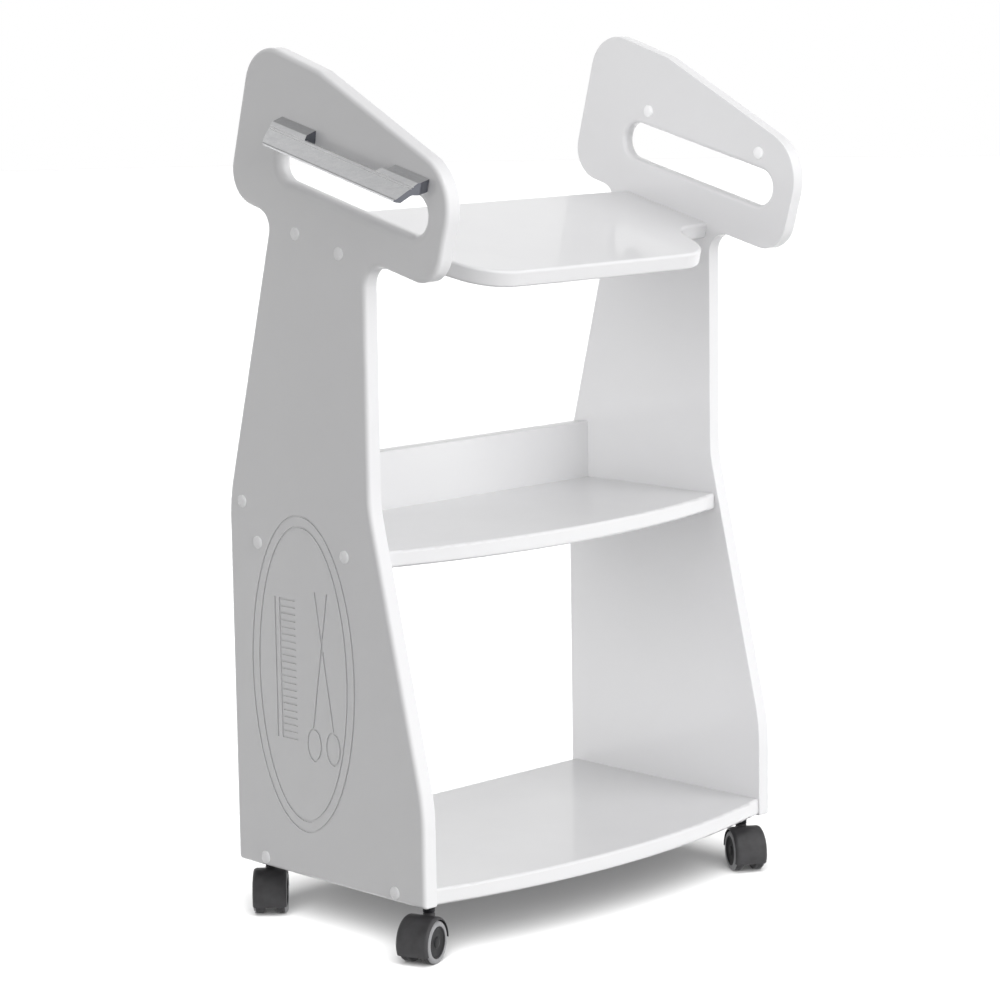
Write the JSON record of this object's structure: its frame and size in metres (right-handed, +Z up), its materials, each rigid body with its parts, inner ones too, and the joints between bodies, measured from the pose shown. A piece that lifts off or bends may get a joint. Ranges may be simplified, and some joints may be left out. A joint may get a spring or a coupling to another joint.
{
  "type": "rolling salon trolley",
  "caption": "Rolling salon trolley: lacquered side panels with hand slots and aluminium pull handles, sloped top shelf, bowed lower shelves, twin-wheel casters.",
  "frame": {"origin": "on the floor, at the centre of the overall box", "axes": "+X to the user's right, -Y towards the front of the trolley (the side the top shelf slopes down to), +Z up"},
  "size_m": [0.549, 0.3317, 0.8761],
  "materials": {
    "white_board": "white lacquer on board, gloss",
    "beech": "bare beech",
    "satin_aluminium": "extruded, satin anodised",
    "zinc_steel": "zinc plated",
    "black_steel": "black oxide",
    "charcoal_plastic": "fine moulded texture, satin",
    "hub_plastic": "moulded, satin",
    "grey_tyre": "soft grey tread, matt",
    "white_cap": "moulded, gloss"
  },
  "bodies": {
    "carcass": {"back_rail": "white_board", "bottom_shelf": "white_board", "caster_front_left_stem": "black_steel", "caster_front_right_stem": "black_steel", "caster_inserts": "zinc_steel", "caster_rear_left_stem": "black_steel", "caster_rear_right_stem": "black_steel", "confirmat_screws": "zinc_steel", "handle_screw_caps": "white_cap", "handle_screws": "zinc_steel", "left_cover_caps": "white_cap", "left_handle": "satin_aluminium", "left_side_panel": "white_board", "middle_shelf": "white_board", "rail_dowels": "beech", "right_cover_caps": "white_cap", "right_handle": "satin_aluminium", "right_side_panel": "white_board", "top_shelf": "white_board"},
    "front_left_caster": {"caster_front_left_hood": "charcoal_plastic", "caster_front_left_axle": "zinc_steel"},
    "front_left_wheel_a": {"caster_front_left_hub_a": "hub_plastic", "caster_front_left_tyre_a": "grey_tyre"},
    "front_left_wheel_b": {"caster_front_left_hub_b": "hub_plastic", "caster_front_left_tyre_b": "grey_tyre"},
    "front_right_caster": {"caster_front_right_hood": "charcoal_plastic", "caster_front_right_axle": "zinc_steel"},
    "front_right_wheel_a": {"caster_front_right_hub_a": "hub_plastic", "caster_front_right_tyre_a": "grey_tyre"},
    "front_right_wheel_b": {"caster_front_right_hub_b": "hub_plastic", "caster_front_right_tyre_b": "grey_tyre"},
    "rear_left_caster": {"caster_rear_left_hood": "charcoal_plastic", "caster_rear_left_axle": "zinc_steel"},
    "rear_left_wheel_a": {"caster_rear_left_hub_a": "hub_plastic", "caster_rear_left_tyre_a": "grey_tyre"},
    "rear_left_wheel_b": {"caster_rear_left_hub_b": "hub_plastic", "caster_rear_left_tyre_b": "grey_tyre"},
    "rear_right_caster": {"caster_rear_right_hood": "charcoal_plastic", "caster_rear_right_axle": "zinc_steel"},
    "rear_right_wheel_a": {"caster_rear_right_hub_a": "hub_plastic", "caster_rear_right_tyre_a": "grey_tyre"},
    "rear_right_wheel_b": {"caster_rear_right_hub_b": "hub_plastic", "caster_rear_right_tyre_b": "grey_tyre"}
  },
  "joints": [
    {"name": "front_left_swivel", "type": "hinge", "parent": "carcass", "child": "front_left_caster", "pos_m": [-0.2275, -0.09725, 0.045], "axis": [0, 0, 1], "continuous": true},
    {"name": "front_left_roll_a", "type": "hinge", "parent": "front_left_caster", "child": "front_left_wheel_a", "pos_m": [-0.2416, -0.10237, 0.021], "axis": [0.342, -0.9397, 0], "continuous": true},
    {"name": "front_left_roll_b", "type": "hinge", "parent": "front_left_caster", "child": "front_left_wheel_b", "pos_m": [-0.2416, -0.10237, 0.021], "axis": [0.342, -0.9397, 0], "continuous": true},
    {"name": "front_right_swivel", "type": "hinge", "parent": "carcass", "child": "front_right_caster", "pos_m": [0.2275, -0.09725, 0.045], "axis": [0, 0, 1], "continuous": true},
    {"name": "front_right_roll_a", "type": "hinge", "parent": "front_right_caster", "child": "front_right_wheel_a", "pos_m": [0.21968, -0.11005, 0.021], "axis": [0.8536, -0.521, 0], "continuous": true},
    {"name": "front_right_roll_b", "type": "hinge", "parent": "front_right_caster", "child": "front_right_wheel_b", "pos_m": [0.21968, -0.11005, 0.021], "axis": [0.8536, -0.521, 0], "continuous": true},
    {"name": "rear_left_swivel", "type": "hinge", "parent": "carcass", "child": "rear_left_caster", "pos_m": [-0.2205, 0.14736, 0.045], "axis": [0, 0, 1], "continuous": true},
    {"name": "rear_left_roll_a", "type": "hinge", "parent": "rear_left_caster", "child": "rear_left_wheel_a", "pos_m": [-0.23092, 0.13656, 0.021], "axis": [0.7193, -0.6947, 0], "continuous": true},
    {"name": "rear_left_roll_b", "type": "hinge", "parent": "rear_left_caster", "child": "rear_left_wheel_b", "pos_m": [-0.23092, 0.13656, 0.021], "axis": [0.7193, -0.6947, 0], "continuous": true},
    {"name": "rear_right_swivel", "type": "hinge", "parent": "carcass", "child": "rear_right_caster", "pos_m": [0.2205, 0.14736, 0.045], "axis": [0, 0, 1], "continuous": true},
    {"name": "rear_right_roll_a", "type": "hinge", "parent": "rear_right_caster", "child": "rear_right_wheel_a", "pos_m": [0.21537, 0.13326, 0.021], "axis": [0.9397, -0.342, 0], "continuous": true},
    {"name": "rear_right_roll_b", "type": "hinge", "parent": "rear_right_caster", "child": "rear_right_wheel_b", "pos_m": [0.21537, 0.13326, 0.021], "axis": [0.9397, -0.342, 0], "continuous": true}
  ]
}
